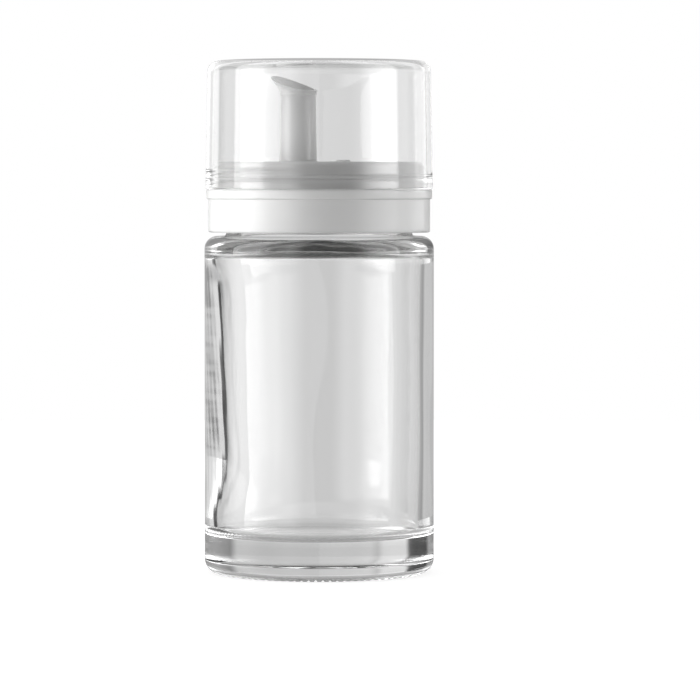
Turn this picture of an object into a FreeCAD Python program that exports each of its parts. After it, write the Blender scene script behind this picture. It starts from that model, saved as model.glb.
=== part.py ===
import FreeCAD, Part
import math
import os

Vector = FreeCAD.Vector

# A small glass dispenser bottle for oil or sauce, in millimetres, standing on its base at Z = 0.
# Three pieces: the glass bottle, the white screwed collar whose pouring spout is moulded with it, and
# the clear cover that is screwed over the collar and rests on its bead. Screw threads are left off
# the solids; the room that they take is kept as named clearances.

# --- Glass bottle ---------------------------------------------------------------------------------
body_radius = 25.8
shoulder_height = 75.9      # flat top of the shoulder, which the collar stands just clear of
shoulder_radius = 2.9       # outer rounding from the body onto the shoulder
body_wall = 2.8
base_thickness = 8.6        # the heavy glass floor, measured at its rim
floor_crown = 0.35          # the floor rises this much to its middle
floor_corner = 2.4          # inner rounding between floor and wall
heel_radius = 3.3           # outer rounding from the body onto the bearing ring
bearing_width = 1.9         # flat ring that the bottle stands on
bearing_rounding = 1.0      # from the ring up into the hollow
push_up = 1.3               # hollow of the underside inside the bearing ring
dome_rounding = 90.0        # of the hollow and of the floor above it
shoulder_thickness = 3.75
shoulder_inner_corner = 2.1
neck_step = 4.9             # the neck stands this far inside the body
neck_root = 0.7             # rounding between shoulder and neck
neck_wall = 2.6
throat_radius = 1.6         # inner rounding where the shoulder turns up into the neck
lip_rounding = 0.8

# --- Collar with its spout ------------------------------------------------------------------------
collar_gap = 0.8            # from the shoulder up to the skirt's lower rim
skirt_height = 7.5
bead_height = 2.2           # the bead is the stop that the cover comes down on
ring_height = 6.1           # from the bead's top to the top of the disc
ring_wall = 1.25
disc_thickness = 1.5
skirt_wall = 1.6
bead_step = 0.45            # the bead stands out this far from the skirt
bead_set_in = 0.15          # and this far inside the cover's rim
thread_room = 1.4           # between neck and collar, taken up by their thread
seal_clearance = 0.15       # between the neck's bore and the sealing ring
seal_wall = 0.9
seal_depth = 1.5
edge_rounding = 0.5         # of the outer edges,
fine_rounding = 0.3         # of the inner ones
corner_rounding = 0.2       # and in the corners
disc_rounding = 1.0         # from the threaded ring onto the disc

spout_bearing = 148.0       # degrees from +X to the side that the beak points to
spout_offset = 5.6          # from the bottle's axis to the tube's axis
spout_root_radius = 4.25
spout_top_radius = 4.0
spout_bore = 3.2
spout_foot = 0.6            # rounding where the tube leaves the disc
lip_step = 0.2              # the mouth's lip stands out this far from the tube
lip_band = 0.9              # height of the lip at its back, where the mouth is lowest
mouth_rise = 3.6            # from the back of the mouth up to the beak's tip
mouth_dip = 0.45            # the mouth sinks this far below the line from its back to the tip
mouth_dip_radius = 12.0
flare_back = 0.25           # height above the lip's lower edge where the flare begins, at the back
flare_beak = 2.2            # and at the beak
back_flare = 0.05           # the flared mouth stands out from the lip this far at its back,
side_flare = 1.0            # this far at its sides
beak_overhang = 2.1         # and this far at the beak
rim_band = 0.4              # the flare ends this far below the mouth's edge
mouth_excess = 0.9          # the lip is drawn upright for this far above the flare, then cut by the mouth

vent_offset = 6.3           # from the bottle's axis, on the side away from the beak
vent_bore = 0.75
vent_boss_radius = 1.6
vent_boss_height = 0.45

# --- Clear cover ----------------------------------------------------------------------------------
cover_height = 29.0
cover_wall = 1.15
cover_top = 2.1
cover_taper = 0.5           # the cover is this much smaller in radius at its top, so that it leaves its mould
cover_corner = 2.3
cover_inner_corner = 1.2
cover_crown = 0.3           # the top rises this much from its edge to its middle
crown_rounding = 300.0      # and this is the rounding there
cover_clearance = 0.85      # between the threaded ring and the cover, taken up by their thread
spout_headroom = 1.2        # from the beak's tip to the cover's ceiling

# --- Sizes that follow ----------------------------------------------------------------------------
skirt_bottom = shoulder_height + collar_gap
bead_bottom = skirt_bottom + skirt_height
bead_top = bead_bottom + bead_height
disc_top = bead_top + ring_height
disc_underside = disc_top - disc_thickness
overall_height = bead_top + cover_height
ceiling = overall_height - cover_top

neck_radius = body_radius - neck_step
neck_bore = neck_radius - neck_wall
ring_inner = neck_radius + thread_room
ring_outer = ring_inner + ring_wall
cover_inner = ring_outer + cover_clearance
cover_outer = cover_inner + cover_wall
bead_radius = cover_outer - bead_set_in
skirt_outer = bead_radius - bead_step
skirt_inner = skirt_outer - skirt_wall

lip_radius = spout_top_radius + lip_step
beak_tip = ceiling - spout_headroom
mouth_low = beak_tip - mouth_rise
lip_bottom = mouth_low - lip_band

same_point = 1e-6           # points nearer than this are one


def rounded_wire(corners, place):
    """Closed outline through corners (a, b, rounding), each turned by an arc tangent to its two sides.
    place(point) carries a point of the flat outline to its place in space."""
    edges = []
    count = len(corners)
    ends = []
    for i, (a, b, rounding) in enumerate(corners):
        corner = Vector(a, b, 0)
        before = (Vector(*corners[i - 1][:2], 0) - corner).normalize()
        after = (Vector(*corners[(i + 1) % count][:2], 0) - corner).normalize()
        if rounding == 0:
            ends.append((corner, corner))
            continue
        half_angle = before.getAngle(after) / 2
        reach = rounding / math.tan(half_angle)
        middle = (before + after).normalize()
        centre = corner + middle * (rounding / math.sin(half_angle))
        start = corner + before * reach
        end = corner + after * reach
        edges.append(Part.Arc(place(start), place(centre - middle * rounding), place(end)).toShape())
        ends.append((start, end))
    for i, (_, end) in enumerate(ends):
        start = ends[(i + 1) % count][0]
        if not start.isEqual(end, same_point):
            edges.append(Part.LineSegment(place(end), place(start)).toShape())
    return Part.Wire(Part.sortEdges(edges)[0])


def turned(corners):
    """Solid of revolution about Z from its outline of (radius, height, rounding) corners."""
    wire = rounded_wire(corners, lambda point: Vector(point.x, 0, point.y))
    return Part.Face(wire).revolve(Vector(0, 0, 0), Vector(0, 0, 1), 360)


def make_bottle():
    """Glass bottle in one turned outline: push-up, bearing ring, heel, body, shoulder and neck outside,
    then bore, throat, shoulder, wall and crowned floor inside."""
    bearing_outer = body_radius - heel_radius
    bearing_inner = bearing_outer - bearing_width
    cavity_radius = body_radius - body_wall
    shoulder_underside = shoulder_height - shoulder_thickness
    return turned([
        (0, push_up, 0),
        (bearing_inner / 2, push_up, dome_rounding),
        (bearing_inner, 0, bearing_rounding),
        (body_radius, 0, heel_radius),
        (body_radius, shoulder_height, shoulder_radius),
        (neck_radius, shoulder_height, neck_root),
        (neck_radius, disc_underside, lip_rounding),
        (neck_bore, disc_underside, lip_rounding),
        (neck_bore, shoulder_underside, throat_radius),
        (cavity_radius, shoulder_underside, shoulder_inner_corner),
        (cavity_radius, base_thickness, floor_corner),
        (cavity_radius / 3, base_thickness + floor_crown, dome_rounding),
        (0, base_thickness + floor_crown, 0),
    ])


def make_collar_shell():
    """The collar as a turned housing: skirt, bead, threaded ring and the disc that closes the neck, with a
    thin ring below the disc that seals the neck's bore."""
    seal_outer = neck_bore - seal_clearance
    seal_inner = seal_outer - seal_wall
    seal_tip = disc_underside - seal_depth
    thread_end = bead_bottom - corner_rounding
    return turned([
        (0, disc_underside, 0),
        (seal_inner, disc_underside, fine_rounding),
        (seal_inner, seal_tip, fine_rounding),
        (seal_outer, seal_tip, fine_rounding),
        (seal_outer, disc_underside, 0),
        (ring_inner, disc_underside, fine_rounding),
        (ring_inner, thread_end, corner_rounding),
        (skirt_inner, thread_end - (skirt_inner - ring_inner), fine_rounding),
        (skirt_inner, skirt_bottom, fine_rounding),
        (skirt_outer, skirt_bottom, edge_rounding),
        (skirt_outer, bead_bottom, corner_rounding),
        (bead_radius, bead_bottom, fine_rounding),
        (bead_radius, bead_top, edge_rounding),
        (ring_outer, bead_top, corner_rounding),
        (ring_outer, disc_top, disc_rounding),
        (0, disc_top, 0),
    ])


def along_beak(distance, height):
    """Point on the line from the bottle's axis towards the beak, at a height."""
    bearing = math.radians(spout_bearing)
    return Vector(distance * math.cos(bearing), distance * math.sin(bearing), height)


def oval_wire(back, beak, half_width):
    """Closed oval across the spout between its back and beak ends, each (distance from the tube's axis
    towards the beak, height). It is tilted as they are and starts at the beak."""
    along = Vector(beak[0] - back[0], 0, beak[1] - back[1])
    middle = along_beak(spout_offset + (back[0] + beak[0]) / 2, (back[1] + beak[1]) / 2)
    oval = Part.Ellipse(Vector(0, 0, 0), max(along.Length / 2, half_width), half_width).toShape()
    tilt = FreeCAD.Rotation(Vector(1, 0, 0), along)
    turn = FreeCAD.Rotation(Vector(0, 0, 1), spout_bearing)
    oval.Placement = FreeCAD.Placement(middle, turn.multiply(tilt))
    return Part.Wire(oval)


def flared_head(inset):
    """Lip of the mouth, a little too tall: upright from its level lower edge, then flared by the square of
    the height, most of all at the beak. inset comes off every reach, so the same form serves for the lip
    and for the space inside it."""
    reach = lip_radius - inset
    back_climb = lip_band - rim_band - flare_back
    beak_climb = lip_band + mouth_rise - rim_band - flare_beak
    sections = [oval_wire((-reach, lip_bottom), (reach, lip_bottom), reach)]
    for share, excess in ((0, 0), (0.4, 0), (0.7, 0), (1, 0), (1, mouth_excess)):
        flare = share ** 2
        back_height = lip_bottom + flare_back + share * back_climb + excess
        beak_height = lip_bottom + flare_beak + share * beak_climb + excess
        sections.append(oval_wire((-reach - flare * back_flare, back_height),
                                  (reach + flare * beak_overhang, beak_height),
                                  reach + flare * side_flare))
    return Part.makeLoft(sections, True, False)


def above_mouth():
    """Everything above the mouth, which is level across the spout and dips once between back and tip."""
    back = Vector(-lip_radius - back_flare, mouth_low, 0)
    tip = Vector(lip_radius + beak_overhang, beak_tip, 0)
    dip = (back + tip) / 2 - Vector(0, mouth_dip, 0)
    far_back = back + (back - dip)
    far_tip = tip + (tip - dip)
    bearing = math.radians(spout_bearing)
    across = Vector(-math.sin(bearing), math.cos(bearing), 0) * (lip_radius + 2 * side_flare)
    side = rounded_wire([
        (far_back.x, far_back.y, 0),
        (dip.x, dip.y, mouth_dip_radius),
        (far_tip.x, far_tip.y, 0),
        (far_tip.x, overall_height, 0),
        (far_back.x, overall_height, 0),
    ], lambda point: along_beak(spout_offset + point.x, point.y) - across)
    return Part.Face(side).extrude(across * 2)


def make_collar():
    """White collar in one moulding: the turned housing, the slightly tapered spout tube with its flared and
    slanted mouth, and opposite the beak a vent that lets air in while the bottle pours."""
    tube_foot = along_beak(spout_offset, disc_top)
    vent_foot = along_beak(-vent_offset, disc_top)
    tube = Part.makeCone(spout_root_radius, spout_top_radius, lip_bottom - disc_top, tube_foot)
    head = flared_head(0).cut(above_mouth())
    boss = Part.makeCylinder(vent_boss_radius, vent_boss_height, vent_foot)
    solid = make_collar_shell().multiFuse([tube, head, boss]).removeSplitter()
    foot_edges = [edge for edge in solid.Edges
                  if isinstance(edge.Curve, Part.Circle) and edge.Curve.Center.isEqual(tube_foot, same_point)]
    solid = solid.makeFillet(spout_foot, foot_edges)
    through = Vector(0, 0, 2 * disc_thickness)
    bore = Part.makeCylinder(spout_bore, lip_bottom - disc_top + through.z, tube_foot - through)
    vent = Part.makeCylinder(vent_bore, vent_boss_height + 2 * through.z, vent_foot - through)
    return solid.cut([bore.fuse(flared_head(lip_radius - spout_bore)), vent])


def make_cover():
    """Clear cover: a slightly tapered cup, mouth down, with a rounded rim and a barely crowned top."""
    top_outer = cover_outer - cover_taper
    top_inner = cover_inner - cover_taper
    return turned([
        (cover_inner, bead_top, corner_rounding),
        (cover_outer, bead_top, fine_rounding),
        (top_outer, overall_height - cover_crown, cover_corner),
        (top_outer / 2, overall_height, crown_rounding),
        (0, overall_height, 0),
        (0, ceiling, 0),
        (top_inner, ceiling, cover_inner_corner),
    ])


os.makedirs("parts", exist_ok=True)
for node, solid in (("bottle", make_bottle()), ("collar", make_collar()), ("cover", make_cover())):
    solid.exportStep(f"parts/{node}.step")
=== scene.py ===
import math

import bpy
import numpy as np
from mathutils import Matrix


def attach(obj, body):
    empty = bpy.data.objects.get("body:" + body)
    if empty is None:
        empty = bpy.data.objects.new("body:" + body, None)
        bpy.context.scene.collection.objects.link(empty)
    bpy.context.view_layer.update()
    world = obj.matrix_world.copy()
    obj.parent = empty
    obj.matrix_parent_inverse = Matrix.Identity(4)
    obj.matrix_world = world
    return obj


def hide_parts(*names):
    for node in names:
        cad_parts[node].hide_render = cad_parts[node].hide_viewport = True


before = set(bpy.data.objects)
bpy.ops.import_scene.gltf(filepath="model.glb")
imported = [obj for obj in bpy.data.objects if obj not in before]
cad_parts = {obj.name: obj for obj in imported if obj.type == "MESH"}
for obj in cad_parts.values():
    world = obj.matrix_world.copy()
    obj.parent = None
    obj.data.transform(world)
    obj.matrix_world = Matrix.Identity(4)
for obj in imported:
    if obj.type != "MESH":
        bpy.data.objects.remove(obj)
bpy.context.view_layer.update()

# --- Bottle ---------------------------------------------------------------------------------------
# The bottle is one piece of clear glass with a heavy floor, pressed and then blown: true to the mould
# outside and slightly wavy inside. It stands on a stippled ring round its push-up, and its neck carries
# the coarse thread that the collar is screwed onto.

MM = 0.001


def outline(corners, spacing):
    """Profile through corners (radius, height, rounding), in millimetres. Each rounding is an arc tangent to
    both sides, in steps of a few degrees, and each straight run is cut into steps no longer than spacing."""
    arc_step = math.radians(7)
    corners = np.array(corners, float)
    points = []
    for i, (radius, height, rounding) in enumerate(corners):
        corner = np.array((radius, height))
        if rounding == 0 or i in (0, len(corners) - 1):
            points.append(corner[None])
            continue
        back = corners[i - 1][:2] - corner
        ahead = corners[i + 1][:2] - corner
        back /= np.linalg.norm(back)
        ahead /= np.linalg.norm(ahead)
        half = math.acos(np.clip(back @ ahead, -1, 1)) / 2
        middle = (back + ahead) / np.linalg.norm(back + ahead)
        centre = corner + middle * rounding / math.sin(half)
        swing = math.pi / 2 - half
        side = np.array((-middle[1], middle[0]))
        side *= np.sign(side @ ahead)
        steps = max(2, math.ceil(2 * swing / arc_step))
        turn = np.linspace(-swing, swing, steps + 1)[:, None]
        points.append(centre - middle * rounding * np.cos(turn) + side * rounding * np.sin(turn))
    path = [points[0]]
    for arc in points[1:]:
        run = np.linalg.norm(arc[0] - path[-1][-1])
        steps = max(1, math.ceil(run / spacing))
        share = np.linspace(0, 1, steps + 1)[1:-1, None]
        path.append(path[-1][-1] * (1 - share) + arc[0] * share)
        path.append(arc)
    return np.concatenate(path)


def surface(name, grid, loop=False, poles=True):
    """Mesh on a grid of points (row, column, xyz) whose columns close round. With loop the last row joins the
    first; with poles the first and last row are each one point. Quads run between neighbouring rows."""
    rows, columns = grid.shape[:2]
    index = np.arange(rows * columns).reshape(rows, columns)
    upper = np.arange(rows if loop else rows - 1)
    low = index[upper]
    high = index[(upper + 1) % rows]
    quads = np.stack((low, np.roll(low, -1, 1), np.roll(high, -1, 1), high), -1).reshape(-1, 4)
    if poles:
        index = index.copy()
        index[0] = index[0, 0]
        index[-1] = index[-1, 0]
        quads = index.reshape(-1)[quads]
    keep = np.unique(quads)
    renumber = np.zeros(rows * columns, int)
    renumber[keep] = np.arange(len(keep))
    quads = renumber[quads]
    distinct = quads != np.roll(quads, 1, 1)
    corners = quads[distinct]
    sizes = distinct.sum(1)
    mesh = bpy.data.meshes.new(name)
    mesh.vertices.add(len(keep))
    mesh.vertices.foreach_set("co", grid.reshape(-1, 3)[keep].ravel() * MM)
    mesh.loops.add(len(corners))
    mesh.loops.foreach_set("vertex_index", corners)
    mesh.polygons.add(len(quads))
    mesh.polygons.foreach_set("loop_start", np.cumsum(sizes) - sizes)
    mesh.polygons.foreach_set("loop_total", sizes)
    mesh.polygons.foreach_set("use_smooth", np.ones(len(quads), bool))
    mesh.update(calc_edges=True)
    mesh.validate()
    piece = bpy.data.objects.new(name, mesh)
    bpy.context.scene.collection.objects.link(piece)
    return piece


def turned(radius, height, columns):
    """Points of a turned form: column j stands at the angle 2 pi j / columns. radius and height have one row
    for each profile point, and may have a value for every column."""
    angle = 2 * np.pi * np.arange(columns) / columns
    radius = radius + 0 * angle
    return np.stack((radius * np.cos(angle), radius * np.sin(angle), height + 0 * angle), -1)


def thread(height, angle, start, pitch, turns, width):
    """Height of a right-handed thread, from 0 to 1: a rounded ridge whose middle climbs by the pitch each
    turn from start, and which fades in and out over its first and last eighth of a turn. The ridge is a
    parabola across its width, cut level at the crest."""
    fade = 1 / 8
    fullness = 1.3
    ridge = 0
    for lap in range(math.ceil(turns)):
        travel = lap + angle / (2 * np.pi)
        ends = np.clip(np.minimum(travel, turns - travel) / fade, 0, 1)
        offset = (height - start - pitch * travel) / (width / 2)
        ridge = np.maximum(ridge, ends * np.clip(fullness * (1 - offset ** 2), 0, 1))
    return ridge


def waves(parts, angle, height):
    """Sum of sine waves. Each part is (depth, waves in one turn, radians for each millimetre of height,
    phase in radians)."""
    return sum(depth * np.sin(count * angle + climb * height + phase) for depth, count, climb, phase in parts)


body_radius = 25.8
shoulder_height = 75.9
neck_radius = 20.9
neck_bore = 18.3
neck_top = 91.0
bearing_inner = 20.6
push_up = 1.3
cavity_radius = 23.0
cavity_floor = 8.6
cavity_middle = 8.95
cavity_top = shoulder_height - 4.0
bore_bottom = shoulder_height - 0.6
dished = 90
bottle_columns = 360
bottle_row_step = 1.3

bottle_path = outline([
    (0, push_up, 0),
    (bearing_inner / 2, push_up, dished),
    (bearing_inner, 0, 1.0),
    (body_radius, 0, 3.3),
    (body_radius, shoulder_height, 2.9),
    (neck_radius, shoulder_height, 0.7),
    (neck_radius, neck_top, 0.8),
    (neck_bore, neck_top, 0.8),
    (neck_bore, bore_bottom, 2.5),
    (cavity_radius, cavity_top, 2.1),
    (cavity_radius, cavity_floor, 2.4),
    (cavity_radius / 3, cavity_middle, dished),
    (0, cavity_middle, 0),
], bottle_row_step)
bottle_angle = 2 * np.pi * np.arange(bottle_columns) / bottle_columns
bottle_r = np.repeat(bottle_path[:, :1], bottle_columns, 1)
bottle_z = np.repeat(bottle_path[:, 1:], bottle_columns, 1)
rows_over_rim = 8
inside = (np.arange(len(bottle_path)) > np.argmax(bottle_path[:, 1]) + rows_over_rim)[:, None]
on_neck = (~inside) & (bottle_z > shoulder_height + 1)

# The inner wall waves slightly all round. On the left it is thick and rippled, most of all low down,
# and on the right it is a little thick. The change fades out towards the floor and the shoulder.
wall_waves = waves((
    (0.08, 2, 0, 0.6 + math.pi / 2), (0.04, 3, 1 / 19, 0), (0.02, 5, -1 / 11, 0), (0.012, 9, 1 / 7, 0),
), bottle_angle, bottle_z)
ripples = waves(((0.012, 3, 1.9, 0), (0.01, -11, 4.3, 0), (0.005, 60, 5.2, 0)), bottle_angle, bottle_z)
left_reach = 0.75
right_reach = 0.6
left_share = np.exp(-((bottle_angle - np.pi) / left_reach) ** 2)
right_share = np.exp(-(np.minimum(bottle_angle, 2 * np.pi - bottle_angle) / right_reach) ** 2)
left_inset = np.interp(
    bottle_z,
    (9, 14, 22, 26, 40, 52, 61, 66, 71),
    (0.1, 0.0, -1.05, -1.3, -1.05, -0.85, -0.7, -0.4, 0.5))
right_inset = np.interp(bottle_z, (9, 22, 64, 74), (-0.3, -0.3, -0.15, 0))
wall_foot, wall_foot_fade = 9, 3
wall_head, wall_head_fade = 74, 6
wall_share = (np.clip((bottle_z - wall_foot) / wall_foot_fade, 0, 1)
              * np.clip((wall_head - bottle_z) / wall_head_fade, 0, 1))
wall_from_radius = 20
on_wall = inside & (bottle_r > wall_from_radius)
uneven = wall_waves + left_share * (left_inset + ripples) + right_share * right_inset
bottle_r = bottle_r + np.where(on_wall, uneven * wall_share, 0)

neck_thread = thread(bottle_z, bottle_angle, start=79.0, pitch=3.2, turns=1.6, width=1.9)
neck_thread_depth = 0.9
bottle_r = bottle_r + np.where(on_neck, neck_thread_depth * neck_thread, 0)

# The stipple is a ring of small notches in the bearing ring's lower face.
stipple_count = 90
stipple_depth = 0.45
stipple_middle = 22.2
stipple_half_width = 1.1
stipple = (np.clip(np.cos(stipple_count * bottle_angle), 0, 1)
           * np.clip(2 - abs(bottle_r - stipple_middle) / stipple_half_width, 0, 1))
bottle_z = bottle_z + np.where(bottle_z < 1.2, stipple_depth * stipple, 0)

# The sloping inner shoulder is slightly uneven.
slope_low, slope_high = 71, 75
on_shoulder = inside & (bottle_z > slope_low) & (bottle_z < slope_high) & (bottle_r > neck_bore + 0.3)
shoulder_waves = (0.035 * np.sin(5 * bottle_angle + 0.5) * np.sin(1.7 * bottle_r)
                  + 0.012 * np.sin(17 * bottle_angle + bottle_r))
bottle_z = bottle_z + np.where(on_shoulder, shoulder_waves, 0)

bottle = surface("bottle_glass", turned(bottle_r, bottle_z, bottle_columns))


class Socket:
    """A shader value that can be reckoned with: each operator adds the Math node of its name."""

    def __init__(self, shading, output):
        self.shading = shading
        self.output = output

    def __getitem__(self, name):
        return Socket(self.shading, self.output.node.outputs[name])

    def math(self, operation, *values):
        return self.shading.node("Math", {"operation": operation}, dict(enumerate(values)))

    def __add__(self, other):
        return self.math("ADD", self, other)

    def __sub__(self, other):
        return self.math("SUBTRACT", self, other)

    def __rsub__(self, other):
        return self.math("SUBTRACT", other, self)

    def __mul__(self, other):
        return self.math("MULTIPLY", self, other)

    def __truediv__(self, other):
        return self.math("DIVIDE", self, other)

    __radd__ = __add__
    __rmul__ = __mul__


class Shading:
    """The nodes of a material or of the world, kept in owner."""

    def __init__(self, owner):
        owner.use_nodes = True
        self.tree = owner.node_tree
        self.tree.nodes.clear()

    def node(self, kind, settings=None, sockets=None):
        """Adds a node: first its settings, such as an operation or a ramp's stops, then the values or links
        of its sockets. Gives its first output."""
        node = self.tree.nodes.new("ShaderNode" + kind)
        for name, value in (settings or {}).items():
            if name == "stops":
                ramp = node.color_ramp.elements
                while len(ramp) < len(value):
                    ramp.new(1)
                for stop, (position, colour) in zip(ramp, value):
                    stop.position = position
                    stop.color = (*colour, 1) if isinstance(colour, tuple) else (colour, colour, colour, 1)
            else:
                setattr(node, name, value)
        for name, value in (sockets or {}).items():
            if isinstance(value, Socket):
                self.tree.links.new(value.output, node.inputs[name])
            else:
                node.inputs[name].default_value = value
        return Socket(self, node.outputs[0]) if node.outputs else None


def clear_material(name, lamp_share, ior, grain, grain_height, grain_stretch, shade_stops=None):
    """Clear glass or plastic: a principled shader that lets light through, with a faint grain in its surface
    and gloss; grain_stretch is a grain's width over its height. The tint stops, if given, are painted shade:
    they darken the glass at each height, as stops over its lowest 10 mm, in place of the shadowed floor and
    darker surround seen through the base. Light on its way to a lamp goes straight through, apart from the
    share that is mirrored, and so does light that has bounced inside many times. The mirrored share rises
    with the fifth power from head_on_share, seen head on, to 1 along the surface."""
    roughness = 0.02
    shade_height = 0.01
    head_on_share = 0.04
    most_bounces = 2.5
    material = bpy.data.materials.new(name)
    shading = Shading(material)
    place = shading.node("TexCoord")["Object"]
    stretched = shading.node("Mapping", None, {"Vector": place, "Scale": (1, 1, grain_stretch)})
    noise = shading.node("TexNoise", None, {"Vector": stretched, "Scale": grain, "Detail": 2.0})
    bump = shading.node("Bump", None, {"Strength": 1.0, "Distance": grain_height, "Height": noise})
    shaded_tint = (1, 1, 1, 1)
    # Painted shade: with stops given, Base Color darkens the glass towards its foot, in place of the shadowed
    # floor and darker surround seen through the base.
    if shade_stops:
        level = shading.node("SeparateXYZ", None, {0: place})["Z"]
        shaded_tint = shading.node("ValToRGB", {"stops": shade_stops}, {0: level / shade_height})
    body = shading.node("BsdfPrincipled", None, {
        "Base Color": shaded_tint, "IOR": ior, "Transmission Weight": 1.0,
        "Roughness": noise * roughness, "Normal": bump})
    through = shading.node("BsdfTransparent", None, {"Color": (lamp_share, lamp_share, lamp_share, 1)})
    path = shading.node("LightPath")
    shadow = path["Is Shadow Ray"]
    graze = shading.node("LayerWeight", None, {"Blend": 0.5})["Facing"]
    mirrored = head_on_share + (1 - head_on_share) * graze.math("POWER", graze, 5.0)
    trapped = path.math("GREATER_THAN", path["Glossy Depth"], most_bounces)
    straight = shadow * (1 - mirrored) + (1 - shadow) * trapped
    mixed = shading.node("MixShader", None, {0: straight, 1: body, 2: through})
    shading.node("OutputMaterial", None, {"Surface": mixed})
    return material


# The glass is painted darker over its lowest few millimetres: painted shade for the shadowed contact zone and
# darker surround seen through the heavy base.
bottle.data.materials.append(clear_material(
    "clear_glass", lamp_share=0.97, ior=1.51, grain=60, grain_height=0.00003, grain_stretch=0.35,
    shade_stops=((0.0, 0.35), (0.08, 0.35), (0.14, 0.78), (0.75, 0.78), (0.9, 0.99))))
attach(bottle, "root")
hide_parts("bottle")

# --- Collar ---------------------------------------------------------------------------------------
# The collar is one moulding of glossy white plastic, screwed onto the neck. It has a plain skirt, a
# bead, a ring with the thread for the cover, and a disc with the pouring spout and a small vent.

skirt_bottom = 76.7
skirt_inner = 23.35
skirt_outer = 24.95
bead_bottom = 84.2
bead_top = 86.4
bead_outer = 25.4
ring_inner = 22.3
ring_outer = 23.55
ring_bottom = 84.0
seal_inner = 17.25
seal_outer = 18.15
seal_bottom = 89.5
disc_bottom = 91.0
disc_top = 92.5
collar_columns = 232
collar_row_step = 0.4

housing_path = outline([
    (0, disc_bottom, 0),
    (seal_inner, disc_bottom, 0.4),
    (seal_inner, seal_bottom, 0.3),
    (seal_outer, seal_bottom, 0.3),
    (seal_outer, disc_bottom, 0.2),
    (ring_inner, disc_bottom, 0.3),
    (ring_inner, ring_bottom, 0.2),
    (skirt_inner, ring_bottom - (skirt_inner - ring_inner), 0.3),
    (skirt_inner, skirt_bottom, 0.3),
    (skirt_outer, skirt_bottom, 0.5),
    (skirt_outer, bead_bottom, 0.2),
    (bead_outer, bead_bottom, 0.3),
    (bead_outer, bead_top, 0.5),
    (ring_outer, bead_top, 0.2),
    (ring_outer, disc_top, 1.0),
    (0, disc_top, 0),
], collar_row_step)
collar_angle = 2 * np.pi * np.arange(collar_columns) / collar_columns
housing_r = np.repeat(housing_path[:, :1], collar_columns, 1)
housing_z = np.repeat(housing_path[:, 1:], collar_columns, 1)
on_ring = (housing_r > ring_outer - 0.65) & (housing_z > bead_top + 0.1) & (housing_z < disc_top - 0.6)
ring_thread = thread(housing_z, collar_angle + 0.9, start=87.3, pitch=1.9, turns=1.9, width=1.0)
ring_thread_depth = 0.55
housing_r = housing_r + np.where(on_ring, ring_thread_depth * ring_thread, 0)
collar = surface("white_collar", turned(housing_r, housing_z, collar_columns))

spout_bearing = math.radians(148)
spout_offset = 5.6
spout_bore = 3.2
spout_foot_radius = 4.25
spout_top_radius = 4.0
lip_radius = 4.2
lip_bottom = 107.6
back_flare = 0.05
side_flare = 1.0
beak_flare = 2.1
mouth_low = 108.5
mouth_sag = 0.4
beak_tip = 112.1
spout_columns = 128
spout_angle = 2 * np.pi * np.arange(spout_columns) / spout_columns


def mouth_height(along):
    """Height of the mouth's edge: a line from its back to the beak's tip that sags between them."""
    share = (along + lip_radius + back_flare) / (2 * lip_radius + back_flare + beak_flare)
    return mouth_low + share * (beak_tip - mouth_low) - 4 * mouth_sag * share * (1 - share)


def spout_row(radius, flare, level):
    """One closed row of the spout. flare draws the circle out to an oval, most of all towards the beak;
    level from 0 to 1 is the share of the way from the lip's lower edge up to the mouth's edge."""
    back = radius + back_flare * flare
    beak = radius + beak_flare * flare
    along = (beak - back) / 2 + (beak + back) / 2 * np.cos(spout_angle)
    across = (radius + side_flare * flare) * np.sin(spout_angle)
    height = lip_bottom + level * (mouth_height(along) - lip_bottom)
    return np.stack((along, across, height), -1)


def plain_row(radius, height):
    """One level circle of the spout's tube."""
    return np.stack((radius * np.cos(spout_angle), radius * np.sin(spout_angle),
                     np.full(spout_columns, height)), -1)


def flare_at(level):
    """How far the lip has flared at a level: nothing up to 0.2, all of it from 0.92 on, and a rising curve
    between them."""
    return np.clip((level - 0.2) / 0.72, 0, 1) ** 1.8


# The rows run up the outside from the foot, which is sunk into the disc and rounded where it leaves it,
# over the lip and the mouth's rounded rim, and down the bore to the disc's lower face.
spout_bottom = disc_bottom - 0.05
foot_height = 0.6
tube_height = 14.4
foot_turn = np.linspace(0, np.pi / 2, 7)
rim_turn = np.linspace(0, np.pi, 9)
rim_half = 0.42
rim_height = 0.16
lip_levels = np.linspace(0.0, 0.94, 22)
sunk_radius = 3.9
tube_bottom_radius = 4.24

rows = [plain_row(sunk_radius, spout_bottom), plain_row(sunk_radius, 91.6), plain_row(4.6, disc_top - 0.3)]
rows += [plain_row(spout_foot_radius + foot_height * (1 - math.sin(a)),
                   disc_top - 0.03 + (foot_height + 0.03) * (1 - math.cos(a))) for a in foot_turn]
rows += [plain_row(tube_bottom_radius + (spout_top_radius - tube_bottom_radius) * share,
                   disc_top + foot_height + share * tube_height) for share in np.linspace(0.05, 1, 12)]
rows += [plain_row(4.02, lip_bottom - 0.06), plain_row(4.16, lip_bottom - 0.03)]
rows += [spout_row(lip_radius, flare_at(level), level) for level in lip_levels]
for a in rim_turn:
    row = spout_row(lip_radius - rim_half * (1 - math.cos(a)), 1.0, 1.0)
    row[:, 2] += rim_height * (math.sin(a) - 1)
    rows.append(row)
bore_at_rim = lip_radius - 2 * rim_half
rows += [spout_row(bore_at_rim + (spout_bore - bore_at_rim) * (1 - level), flare_at(level), level)
         for level in lip_levels[::-1]]
rows += [plain_row(spout_bore, height) for height in np.linspace(lip_bottom - 0.1, spout_bottom, 24)]
spout_grid = np.stack(rows)
turn_out = np.array(((math.cos(spout_bearing), math.sin(spout_bearing)),
                     (-math.sin(spout_bearing), math.cos(spout_bearing))))
spout_grid[..., 0] += spout_offset
spout_grid[..., :2] = spout_grid[..., :2] @ turn_out
spout = surface("white_spout", spout_grid, loop=True, poles=False)

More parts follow.
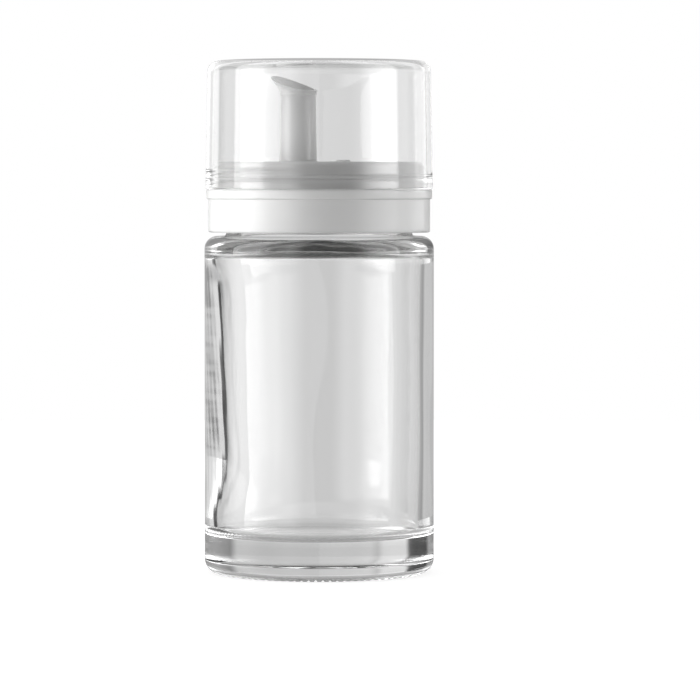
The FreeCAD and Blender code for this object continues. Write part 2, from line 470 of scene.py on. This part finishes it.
vent_bore = 0.75
vent_outer = 1.6
vent_top = 92.95
vent_waist = 92.0
vent_place = -6.3 * turn_out[0]
vent_path = outline([
    (vent_bore, vent_waist, 0),
    (vent_bore, vent_top, 0.12),
    (vent_outer, vent_top, 0.2),
    (vent_outer, vent_waist, 0),
    (vent_outer - 0.3, spout_bottom, 0),
    (vent_bore, spout_bottom, 0),
], 0.3)
vent_grid = turned(vent_path[:, :1], vent_path[:, 1:], 48)[::-1]
vent_grid[..., :2] += vent_place
vent = surface("white_vent", vent_grid, loop=True, poles=False)


def hole_cutter(radius, place):
    """Closed upright cylinder through the disc, taken away again after the cut."""
    low, high = 89, 94
    columns = 96
    path = np.array(((0, low), (radius, low), (radius, high), (0, high)), float)
    grid = turned(path[:, :1], path[:, 1:], columns)
    grid[..., :2] += place
    return surface("cutter", grid)


def combined(piece, other, operation):
    """piece after a union with other, or after other is cut from it. other is used up."""
    change = piece.modifiers.new("change", "BOOLEAN")
    change.operation = operation
    change.solver = "EXACT"
    change.object = other
    made = bpy.data.meshes.new_from_object(piece.evaluated_get(bpy.context.evaluated_depsgraph_get()))
    piece.modifiers.clear()
    piece.data = made
    bpy.data.objects.remove(other)


# Each hole is cut between the bore and the outside of what fills it, so that both join the disc.
spout_hole = 3.6
vent_hole = 1.1
combined(collar, hole_cutter(spout_hole, spout_offset * turn_out[0]), "DIFFERENCE")
combined(collar, hole_cutter(vent_hole, vent_place), "DIFFERENCE")
combined(collar, spout, "UNION")
combined(collar, vent, "UNION")
collar.data.name = "white_collar"
collar.data.shade_smooth()
collar.data.set_sharp_from_angle(angle=math.radians(40))

# A fine grain makes the bump, and a broad cloud varies the tone and the gloss a little.
white = bpy.data.materials.new("white_plastic")
white_shading = Shading(white)
white_place = white_shading.node("TexCoord")["Object"]
grain = white_shading.node("TexNoise", None, {"Vector": white_place, "Scale": 900.0, "Detail": 3.0})
cloud = white_shading.node("TexNoise", None, {"Vector": white_place, "Scale": 70.0, "Detail": 2.0})
tone = white_shading.node("ValToRGB", {
    "stops": ((0.3, (0.86, 0.86, 0.855)), (0.7, (0.9, 0.9, 0.895)))}, {0: cloud})
white_bump = white_shading.node("Bump", None, {"Strength": 0.3, "Distance": 0.00002, "Height": grain})
white_body = white_shading.node("BsdfPrincipled", None, {
    "Base Color": tone, "Roughness": 0.12 + 0.1 * cloud, "IOR": 1.49, "Normal": white_bump,
    "Subsurface Weight": 0.6, "Subsurface Radius": (1, 1, 1), "Subsurface Scale": 0.002})
white_shading.node("OutputMaterial", None, {"Surface": white_body})
collar.data.materials.clear()
collar.data.materials.append(white)
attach(collar, "root")
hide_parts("collar")

# --- Cover ----------------------------------------------------------------------------------------
# The cover is a thin cup of clear rigid plastic, mouth down. Its inner thread runs on the collar's ring
# until its rim rests on the bead.

cover_inner = 24.4
cover_outer = 25.55
cover_taper = 0.5
cover_top = 115.4
cover_roof = 114.2
cover_columns = 288
cover_row_step = 0.4

cover_path = outline([
    (0, cover_roof, 0),
    (cover_inner - cover_taper, cover_roof, 1.5),
    (cover_inner, bead_top, 0.2),
    (cover_outer, bead_top, 0.3),
    (cover_outer - cover_taper, cover_top - 0.3, 2.3),
    ((cover_outer - cover_taper) / 2, cover_top, 300),
    (0, cover_top, 0),
], cover_row_step)
cover_angle = 2 * np.pi * np.arange(cover_columns) / cover_columns
cover_r = np.repeat(cover_path[:, :1], cover_columns, 1)
cover_z = np.repeat(cover_path[:, 1:], cover_columns, 1)
inner_wall = (np.arange(len(cover_path)) < np.argmin(cover_path[:, 1]))[:, None] & (cover_r > 23)
cover_thread = thread(cover_z, cover_angle + 0.2, start=87.0, pitch=1.9, turns=1.8, width=0.9)
cover_thread_depth = 0.2
cover_r = cover_r - np.where(inner_wall, cover_thread_depth * cover_thread, 0)
cover = surface("clear_cover", turned(cover_r, cover_z, cover_columns))
cover.data.materials.append(clear_material(
    "clear_plastic", lamp_share=0.96, ior=1.5, grain=50, grain_height=0.00002, grain_stretch=0.3))
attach(cover, "root")
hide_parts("cover")

# --- Studio ---------------------------------------------------------------------------------------
# The object stands on a round pale floor in a white surround, between two soft lamps on each side and
# under one above. The floor glows a little for the viewer alone, more so towards its rim, so that it
# blends into the white and keeps the object's soft shadow. Glass and gloss see the surround through it.

floor_radius = 0.6
floor_corners = 96
floor_mesh = bpy.data.meshes.new("floor")
floor_turn = 2 * np.pi * np.arange(floor_corners) / floor_corners
floor_rim = floor_radius * np.stack((np.cos(floor_turn), np.sin(floor_turn), 0 * floor_turn), -1)
floor_mesh.from_pydata(floor_rim.tolist(), [], [list(range(floor_corners))])
floor = bpy.data.objects.new("floor", floor_mesh)
bpy.context.scene.collection.objects.link(floor)
floor_material = bpy.data.materials.new("pale_floor")
floor_shading = Shading(floor_material)
floor_rays = floor_shading.node("LightPath")
floor_diffuse = floor_shading.node("BsdfDiffuse", None, {"Color": (0.5, 0.5, 0.5, 1)})
floor_far = floor_shading.node("VectorMath", {"operation": "LENGTH"}, {
    0: floor_shading.node("TexCoord")["Object"]})["Value"]
floor_fade = 0.35
floor_veil = 0.72 + 0.25 * floor_far.math("MINIMUM", floor_far / floor_fade, 1.0)
floor_glow = floor_shading.node("Emission", None, {"Strength": floor_rays["Is Camera Ray"] * floor_veil})
floor_sum = floor_shading.node("AddShader", None, {0: floor_diffuse, 1: floor_glow})
floor_open = floor_rays.math("MAXIMUM", floor_rays["Is Transmission Ray"], floor_rays["Is Glossy Ray"])
floor_mix = floor_shading.node("MixShader", None, {
    0: floor_open, 1: floor_sum, 2: floor_shading.node("BsdfTransparent", None, {"Color": (1, 1, 1, 1)})})
floor_shading.node("OutputMaterial", None, {"Surface": floor_mix})
floor_mesh.materials.append(floor_material)

world = bpy.data.worlds.new("studio")
bpy.context.scene.world = world
air = Shading(world)
direction = air.node("SeparateXYZ", None, {0: air.node("TexCoord")["Generated"]})
bearing = direction.math("ARCTAN2", direction["Y"], direction["X"])
turn = bearing.math("FRACT", bearing * (0.5 / math.pi) + 0.75)


def panorama(stops):
    """Level round the horizon from (degrees, level) stops: 0 is straight behind the bottle, 90 is to the
    viewer's left and 180 is the viewer's side."""
    whole_turn = 360
    shares = tuple((degrees / whole_turn, value) for degrees, value in stops)
    return air.node("ValToRGB", {"stops": shares}, {0: turn})


# What is seen through the glass on the far side: a pale screen with dark flags beside it, which blends
# into a plain sky and ground up and down.
behind = panorama((
    (0, 0.72), (5, 0.74), (18, 0.74), (21, 0.6), (24, 0.84), (37, 0.88), (40, 0.1), (44, 0.04),
    (60, 0.05), (66, 0.5), (90, 0.6), (270, 0.6), (294, 0.5), (306, 0.5), (316, 0.4), (321, 0.28),
    (326, 0.62), (340, 0.62), (356, 0.68)))


def blend(value, *limits):
    """Smooth step of value from its first limit to its second, from 0 to 1 or between the last two limits."""
    return air.node("MapRange", {"interpolation_type": "SMOOTHSTEP"}, dict(enumerate((value, *limits))))


below = direction.math("LESS_THAN", direction["Z"], 0.0)
steep = direction.math("ABSOLUTE", direction["Z"])
slope = blend(steep, 0.3 - below * 0.18, 0.5 - below * 0.23)
sky = 0.68 - below * 0.06

# What is mirrored, and seen through the glass on the viewer's side: bright bands that stand for the faces
# of soft boxes round the object. Above the horizon they are sharper and brighter than below it.
mirrored_low = panorama((
    (0, 0.6), (46, 0.5), (56, 0.3), (68, 0.2), (81, 1.8), (87, 3.0), (93, 3.7), (103, 3.6),
    (113, 2.6), (123, 1.7), (132, 1.4), (140, 1.5), (149, 1.6), (157, 0.8), (165, 0.05), (213, 0.05),
    (222, 0.5), (230, 1.4), (239, 1.6), (249, 1.4), (259, 1.8), (270, 1.2), (281, 1.0), (296, 0.5),
    (316, 0.4), (324, 0.5)))
mirrored_high = panorama((
    (0, 0.5), (24, 0.5), (38, 0.9), (46, 3.0), (53, 3.0), (57, 0.4), (83, 0.4), (85, 4.8),
    (117, 4.8), (123, 2.2), (132, 1.4), (140, 1.5), (149, 1.6), (157, 0.8), (165, 0.05), (213, 0.05),
    (222, 0.5), (228, 1.6), (238, 3.0), (250, 4.2), (267, 4.5), (269, 1.6), (292, 1.6), (297, 3.0),
    (308, 2.0), (315, 2.6), (318, 2.6), (322, 0.2), (345, 0.2), (352, 0.5)))
high = blend(direction["Z"], -0.012, 0.0)
foot = blend(direction["Z"], -0.092, -0.066, 0.45, 1.0)
mirrored = (1 - high) * foot * mirrored_low + high * mirrored_high
away = direction.math("GREATER_THAN", direction["Y"], 0.0)
through_glass = (1 - slope) * (away * (1 + 0.1 * high) * behind + (1 - away) * mirrored) + slope * sky

# Light that falls on matt surfaces is plain and comes mostly from behind. The viewer sees plain white.
around = 0.03 + 0.4 * (direction["Y"] * 0.5 + 0.5)
rays = air.node("LightPath")
seen = rays["Is Camera Ray"]
first = 1 - rays.math("MINIMUM", rays["Diffuse Depth"], 1.0)
passed = rays["Is Transmission Ray"] * first
glossy = rays["Is Glossy Ray"] * (1 - rays["Is Transmission Ray"]) * first
level = seen + (1 - seen) * (
    passed * through_glass + glossy * mirrored + (1 - passed) * (1 - glossy) * around)
background = air.node("Background", None, {"Color": (1, 1, 1, 1), "Strength": level})
air.node("OutputWorld", None, {"Surface": background})


def soft_lamp(name, bearing, distance, height, width, tall, radiance, tilt=90):
    """Rectangular lamp that faces the bottle. bearing is in degrees from the viewer's side, negative to the
    left, and tilt is 90 for a lamp that shines level and 0 for one that shines down. radiance is how bright
    its face is, where 1 is a white surface in plain light."""
    lamp = bpy.data.lights.new(name, "AREA")
    lamp.shape = "RECTANGLE"
    lamp.size = width
    lamp.size_y = tall
    lamp.energy = radiance * math.pi * width * tall
    holder = bpy.data.objects.new(name, lamp)
    swing = math.radians(bearing)
    holder.location = (distance * math.sin(swing), -distance * math.cos(swing), height)
    holder.rotation_euler = (math.radians(tilt), 0, swing)
    holder.visible_camera = False
    holder.visible_glossy = False
    holder.visible_transmission = False
    bpy.context.scene.collection.objects.link(holder)


soft_lamp("left_lamp", -79, 0.26, 0.1, 0.16, 0.19, 5.4)
soft_lamp("left_edge_lamp", -47, 0.26, 0.1, 0.12, 0.19, 2.4)
soft_lamp("right_inner_lamp", 56, 0.26, 0.08, 0.1, 0.15, 1.2)
soft_lamp("right_lamp", 78, 0.26, 0.08, 0.1, 0.15, 5.0)
soft_lamp("top_lamp", 0, 0, 0.4, 0.25, 0.25, 1.4, tilt=0)

camera_place = np.array((0, -0.930, 0.0878))
aim_point = np.array((0.00693, 0, 0.0502))
camera = bpy.data.cameras.new("camera")
camera.sensor_width = 36
camera.lens = 212.5
viewer = bpy.data.objects.new("camera", camera)
viewer.location = camera_place
ahead = aim_point - camera_place
pitch = math.atan2(ahead[2], math.hypot(ahead[0], ahead[1]))
viewer.rotation_euler = (math.pi / 2 + pitch, 0, -math.atan2(ahead[0], ahead[1]))
bpy.context.scene.collection.objects.link(viewer)
bpy.context.scene.camera = viewer
bpy.context.scene.view_settings.view_transform = "Standard"
